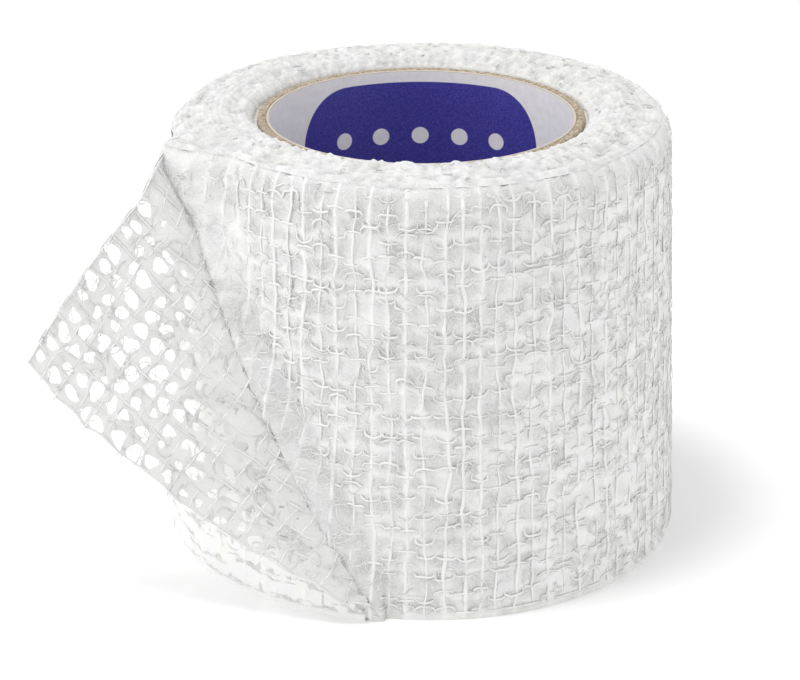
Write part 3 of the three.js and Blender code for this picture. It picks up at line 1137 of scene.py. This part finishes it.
board = spun(tube_section(board_inner, board_outer, 0.18), round_steps, "core_board")
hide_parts("core")
liner = spun(tube_section(liner_bore, liner_outer, 0.08), round_steps, "core_paper")
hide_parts("core_liner")


def bore_uv(piece):
    """A UV map in centimetres: round the bore from its back, and up it. The seam is in front."""
    places, angle, _ = vertex_places(piece)
    bore_radius_cm = liner_bore / 10
    arc = ((angle % (2 * math.pi)) - math.pi) * bore_radius_cm
    map_round(piece, "bore", arc, places[:, 2] / 10, 2 * math.pi * bore_radius_cm)


bore_uv(board)
bore_uv(liner)
print("board and paper triangles:", triangles(board), triangles(liner))

# %% [markdown]
# Each finish is a node material. Nodes are plain to see in the editor, but slow to write out one
# by one. So a small class gives each kind of node a short name, and joins it as it is made.

# %% Helpers for materials
class Finish:
    """A node material under construction, with short names for adding and joining nodes."""

    def __init__(self, name, roughness, specular=0.5, sheen=0.0):
        self.material = bpy.data.materials.new(name)
        self.material.use_nodes = True
        self.tree = self.material.node_tree
        self.shader = self.tree.nodes["Principled BSDF"]
        self.shader.inputs["Roughness"].default_value = roughness
        self.shader.inputs["Specular IOR Level"].default_value = specular
        self.shader.inputs["Sheen Weight"].default_value = sheen

    def add(self, kind, **settings):
        made = self.tree.nodes.new(kind)
        for key, value in settings.items():
            setattr(made, key, value)
        return made

    def join(self, source, target):
        self.tree.links.new(source, target)

    def feed(self, sockets, values):
        """Gives each socket its value: another node's output, a colour or a plain number."""
        for socket, value in zip(sockets, values):
            if hasattr(value, "links"):
                self.join(value, socket)
            else:
                socket.default_value = (*value, 1) if isinstance(value, tuple) else value

    def math(self, operation, *values, clamp=False):
        made = self.add("ShaderNodeMath", operation=operation, use_clamp=clamp)
        self.feed(made.inputs, values)
        return made.outputs[0]

    def noise(self, scale, detail, coordinates=None, distortion=0.0, output="Fac"):
        made = self.add("ShaderNodeTexNoise")
        made.inputs["Scale"].default_value = scale
        made.inputs["Detail"].default_value = detail
        made.inputs["Distortion"].default_value = distortion
        self.join(coordinates or self.object_coordinates(), made.inputs["Vector"])
        return made.outputs[output]

    def object_coordinates(self):
        return self.add("ShaderNodeTexCoord").outputs["Object"]

    def ramp(self, value, stops):
        made = self.add("ShaderNodeValToRGB")
        for element, (place, colour) in zip(made.color_ramp.elements, stops[:2]):
            element.position, element.color = place, (*colour, 1)
        for place, colour in stops[2:]:
            made.color_ramp.elements.new(place).color = (*colour, 1)
        self.join(value, made.inputs["Fac"])
        return made.outputs["Color"]

    def mix(self, share, first, second):
        made = self.add("ShaderNodeMix", data_type="RGBA")
        self.feed((made.inputs[0], made.inputs[6], made.inputs[7]), (share, first, second))
        return made.outputs[2]

    def bump(self, height, distance):
        made = self.add("ShaderNodeBump")
        made.inputs["Strength"].default_value = 1.0
        made.inputs["Distance"].default_value = distance * MM
        self.join(height, made.inputs["Height"])
        self.join(made.outputs["Normal"], self.shader.inputs["Normal"])

    def colour(self, source, through=0.0):
        """Sets the colour, and how much of the light comes through from behind."""
        self.join(source, self.shader.inputs["Base Color"])
        if through:
            glow = self.add("ShaderNodeBsdfTranslucent")
            blend = self.add("ShaderNodeMixShader")
            blend.inputs["Fac"].default_value = through
            self.join(source, glow.inputs["Color"])
            self.join(self.shader.outputs[0], blend.inputs[1])
            self.join(glow.outputs[0], blend.inputs[2])
            self.join(blend.outputs[0], self.tree.nodes["Material Output"].inputs["Surface"])


def dress(finish, *pieces):
    for piece in pieces:
        piece.data.materials.clear()
        piece.data.materials.append(finish.material)

# %% [markdown]
# The threads are bleached cotton, matt and faintly patchy. One plain white would do from far
# away, but close up a yarn has darker fibres in it, so two noises choose between two greys. On
# the folded flap the wefts and hairs take a darker copy of the thread, which is painted shade,
# light shines through the net, and the matted ends of the turns are duller and rougher.

# %% Cotton threads and the net
rough_cotton = 0.92


def cotton(name, dark, light, grain, bump_depth, sheen=0.15, through=0):
    """A matt finish that wanders between two greys."""
    finish = Finish(name, rough_cotton, specular=0.2, sheen=sheen)
    patches = finish.noise(260, 3)
    fibres = finish.noise(grain, 4, distortion=0.6)
    blend = finish.math("MULTIPLY_ADD", patches, 0.5, finish.math("MULTIPLY", fibres, 0.5))
    finish.colour(finish.ramp(blend, [(0.30, dark), (0.70, light)]), through)
    finish.bump(fibres, bump_depth)
    return finish


thread_finish = cotton(
    "bright_thread", (0.76, 0.76, 0.75), (0.86, 0.86, 0.85), grain=5200, bump_depth=0.03, sheen=0.2
)
shaded_thread_finish = cotton(
    "shaded_thread", (0.60, 0.60, 0.595), (0.78, 0.78, 0.77), grain=5200, bump_depth=0.03, sheen=0.2
)
net_finish = cotton(
    "soft_net", (0.79, 0.79, 0.785), (0.89, 0.89, 0.885), grain=3600, bump_depth=0.10, through=0.3
)
edge_finish = cotton(
    "fluffy_edge", (0.62, 0.62, 0.615), (0.77, 0.77, 0.76), grain=2600, bump_depth=0.15
)
dress(thread_finish, roll_wefts, roll_yarns, roll_trim, roll_fluff, loose_yarns, loose_trim)
# Painted shade: the flap's wefts and hairs get the darker copy of the thread finish.
dress(shaded_thread_finish, loose_wefts, loose_hairs)
dress(net_finish, loose_net)
dress(edge_finish, foot_edges, top_yarns)

# %% [markdown]
# The finish reads the whiteness kept at each vertex, which the relief already set: painted light
# on the ridges and lumps, and painted shade in the cells. It adds fine fuzz of its own, and spots
# of warmer and cooler white, as bleached cotton has. The felt laid under the flap gets lighter
# tones, a painted lit copy of the same felt.

# %% The felt of the outer turn and of the top face
rough_felt = 0.95
tone_places = (0.36, 0.55, 0.78, 1.10)
warm_blue = 0.97


def felt_finish(name, tones, grain, bump_depth):
    """Felt that takes its painted light and shade from the relief, and adds fine fuzz of its own."""
    finish = Finish(name, rough_felt, specular=0.15, sheen=0.15)
    whiteness = finish.add("ShaderNodeAttribute", attribute_name="white").outputs["Fac"]
    fuzz = finish.noise(grain, 3, distortion=0.5)
    fuzzy = finish.math("MULTIPLY_ADD", fuzz, 0.8, finish.math("MULTIPLY", whiteness, 0.75))
    cool_stops = [(place, (tone, tone, tone)) for place, tone in zip(tone_places, tones)]
    warm_stops = [(place, (red, green, blue * warm_blue)) for place, (red, green, blue) in cool_stops]
    cool, warm = finish.ramp(fuzzy, cool_stops), finish.ramp(fuzzy, warm_stops)
    spots = finish.ramp(finish.noise(180, 2), [(0.42, (0, 0, 0)), (0.62, (1, 1, 1))])
    finish.colour(finish.mix(spots, cool, warm))
    finish.bump(fuzz, bump_depth)
    return finish


dress(felt_finish("soft_felt", (0.66, 0.735, 0.79, 0.85), grain=4200, bump_depth=0.12), roll_felt)
# Painted light: the felt laid under the flap takes lighter tones than the roll's felt.
dress(felt_finish("painted_lit_felt", (0.72, 0.78, 0.84, 0.89), grain=4200, bump_depth=0.10), laid_felt)
dress(felt_finish("matted_edges", (0.54, 0.62, 0.69, 0.77), grain=3200, bump_depth=0.14), top_edges)

# %% [markdown]
# The turn underneath shows only in gaps. It is the same cloth, but no one sees its threads, so
# its weave is drawn in colour and bump from the UV map that counts wefts and warps.

# %% The turn under the felt
under_finish = Finish("turn_underneath", rough_felt, specular=0.15)
cloth_place = under_finish.add("ShaderNodeUVMap", uv_map="cloth").outputs["UV"]
spread = under_finish.noise(1.3, 2, cloth_place, output="Color")
wobble = under_finish.add("ShaderNodeVectorMath", operation="MULTIPLY_ADD")
wobble.inputs[1].default_value = (0.5, 0.5, 0.0)
under_finish.join(spread, wobble.inputs[0])
under_finish.join(cloth_place, wobble.inputs[2])
parts = under_finish.add("ShaderNodeSeparateXYZ")
under_finish.join(wobble.outputs[0], parts.inputs[0])


def ridge(value, sharpness):
    """A soft ridge on every whole number: 1 on it and 0 half way to the next."""
    swing = under_finish.math("COSINE", under_finish.math("MULTIPLY", value, 2 * math.pi))
    return under_finish.math("POWER", under_finish.math("MULTIPLY_ADD", swing, 0.5, 0.5), sharpness)


thread_ridge = ridge(parts.outputs["X"], 5)
band_ridge = ridge(parts.outputs["Y"], 1.6)
weave = under_finish.math("MAXIMUM", thread_ridge, band_ridge)
fluff = under_finish.noise(2400, 4, distortion=0.8)
weave_share = under_finish.math("MULTIPLY", weave, 0.6)
relief = under_finish.math("ADD", weave_share, under_finish.math("MULTIPLY", fluff, 0.4))
under_tones = [(0.15, (0.84, 0.845, 0.84)), (0.75, (0.94, 0.94, 0.93))]
under_finish.colour(under_finish.ramp(relief, under_tones))
under_finish.bump(relief, 0.5)
dress(under_finish, body)
print("gauze materials:", [m.name for m in bpy.data.materials])

# %% [markdown]
# The paper inside the core is white with a plain print: a deep blue panel with rounded corners
# and a row of white dots, once at the back of the bore and once at the front. The shapes could
# come from an image, but they are plain enough to be worked out from the map of the bore.

# %% Print on the paper
panel_middle = 43.6
panel_half_width = 18.6
panel_half_height = 12.9
panel_corner = 8.0
dot_height = 48.6
dot_pitch = 5.6
dot_radius = 1.25
dot_margin = 3.5
print_sharpness = 12
bare_rim = 0.15
blue_ink = [(0.35, (0.026, 0.020, 0.24)), (0.65, (0.062, 0.052, 0.36))]
paper_white = [(0.3, (0.79, 0.775, 0.79)), (0.7, (0.87, 0.855, 0.865))]
rim_tan = (0.60, 0.53, 0.46)

paper_finish = Finish("printed_paper", 0.5)
paper_place = paper_finish.add("ShaderNodeUVMap", uv_map="bore").outputs["UV"]
paper_parts = paper_finish.add("ShaderNodeSeparateXYZ")
paper_finish.join(paper_place, paper_parts.inputs[0])
calc = paper_finish.math


def reach(across, upward):
    """How far a place is from a point, from its two distances."""
    squares = [calc("MULTIPLY", side, side) for side in (across, upward)]
    return calc("SQRT", calc("ADD", *squares))


arc = calc("MULTIPLY", paper_parts.outputs["X"], 10)
tall = calc("MULTIPLY", paper_parts.outputs["Y"], 10)
half_round = math.pi * liner_bore
panel_arc = calc("ABSOLUTE", calc("PINGPONG", calc("ABSOLUTE", arc), half_round / 2))
panel_up = calc("ABSOLUTE", calc("SUBTRACT", tall, panel_middle))
over_x = calc("MAXIMUM", calc("SUBTRACT", panel_arc, panel_half_width - panel_corner), 0)
over_y = calc("MAXIMUM", calc("SUBTRACT", panel_up, panel_half_height - panel_corner), 0)
into_panel = calc("SUBTRACT", panel_corner, reach(over_x, over_y))
in_panel = calc("MULTIPLY", into_panel, print_sharpness, clamp=True)
dot_x = calc("PINGPONG", calc("ADD", arc, 100 * dot_pitch), dot_pitch / 2)
into_dot = calc("SUBTRACT", dot_radius, reach(dot_x, calc("SUBTRACT", tall, dot_height)))
in_dot = calc("MULTIPLY", into_dot, print_sharpness, clamp=True)
dot_zone = calc("LESS_THAN", panel_arc, panel_half_width - dot_margin)
no_dot = calc("SUBTRACT", 1, calc("MULTIPLY", in_dot, dot_zone))
blue_share = calc("MULTIPLY", in_panel, no_dot)
ink = paper_finish.ramp(paper_finish.noise(4200, 2), blue_ink)
sheet_white = paper_finish.ramp(paper_finish.noise(900, 3), paper_white)
on_rim = calc("GREATER_THAN", tall, core_length - bare_rim)
bare = paper_finish.mix(on_rim, sheet_white, rim_tan)
paper_finish.colour(paper_finish.mix(blue_share, bare, ink))
paper_finish.bump(paper_finish.noise(3000, 2), 0.02)
dress(paper_finish, liner)

# %% [markdown]
# Paperboard is pressed from short brown fibres of several shades, so its finish is one noise
# with three browns, and its bump makes the cut rim a little rough.

# %% Paperboard
board_finish = Finish("brown_paperboard", 0.85)
flecks = board_finish.noise(2400, 5, distortion=0.4)
board_finish.colour(board_finish.ramp(flecks, [
    (0.32, (0.19, 0.14, 0.08)), (0.48, (0.38, 0.31, 0.22)), (0.66, (0.54, 0.47, 0.37)),
]))
board_finish.bump(flecks, 0.12)
dress(board_finish, board)

# %% [markdown]

# %% [markdown]
# The roll stands on a plain white floor. The light is high key: a bright sky all round, a large
# soft light from the upper left that gives the pale shadow at the right, and a soft top light. A
# small low lamp keeps the roll's right side from going grey.

# %% Floor, sky and lights
bpy.ops.object.select_all(action="DESELECT")
bpy.ops.mesh.primitive_plane_add(size=4, location=(0, 0, 0))
floor = bpy.context.object
floor.name = "floor"
floor_finish = Finish("white_floor", 0.9)
floor_white = [(0.3, (0.96, 0.96, 0.96)), (0.7, (0.97, 0.97, 0.97))]
floor_finish.colour(floor_finish.ramp(floor_finish.noise(6, 2), floor_white))
dress(floor_finish, floor)

sky_strength = 0.835
world = bpy.data.worlds.new("studio")
world.use_nodes = True
sky = world.node_tree.nodes["Background"]
sky.inputs["Color"].default_value = (1, 1, 1, 1)
sky.inputs["Strength"].default_value = sky_strength
bpy.context.scene.world = world


def soft_light(name, place, size, power):
    """A round lamp that looks at the middle of the roll."""
    data = bpy.data.lights.new(name, "AREA")
    data.shape = "DISK"
    data.size = size
    data.energy = power
    lamp = bpy.data.objects.new(name, data)
    lamp.location = place
    aim = np.array([axis_x * MM, axis_y * MM, 0.03]) - np.array(place)
    lamp.rotation_euler = Vector(aim).to_track_quat("-Z", "Y").to_euler()
    bpy.context.collection.objects.link(lamp)


soft_light("top", place=(-0.20, -0.08, 0.97), size=0.25, power=3.0)
soft_light("left", place=(-0.88, -0.25, 0.42), size=0.8, power=2.4)
soft_light("right", place=(0.85, -0.45, 0.17), size=0.3, power=0.85)
bpy.context.scene.view_settings.view_transform = "Standard"
bpy.context.scene.view_settings.look = "None"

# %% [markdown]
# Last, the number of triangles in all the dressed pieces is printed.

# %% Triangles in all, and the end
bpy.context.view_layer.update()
made = [o for o in bpy.data.objects if o.type == "MESH" and not o.hide_render and o.name != "floor"]
print("triangles in all:", sum(triangles(o) for o in made))
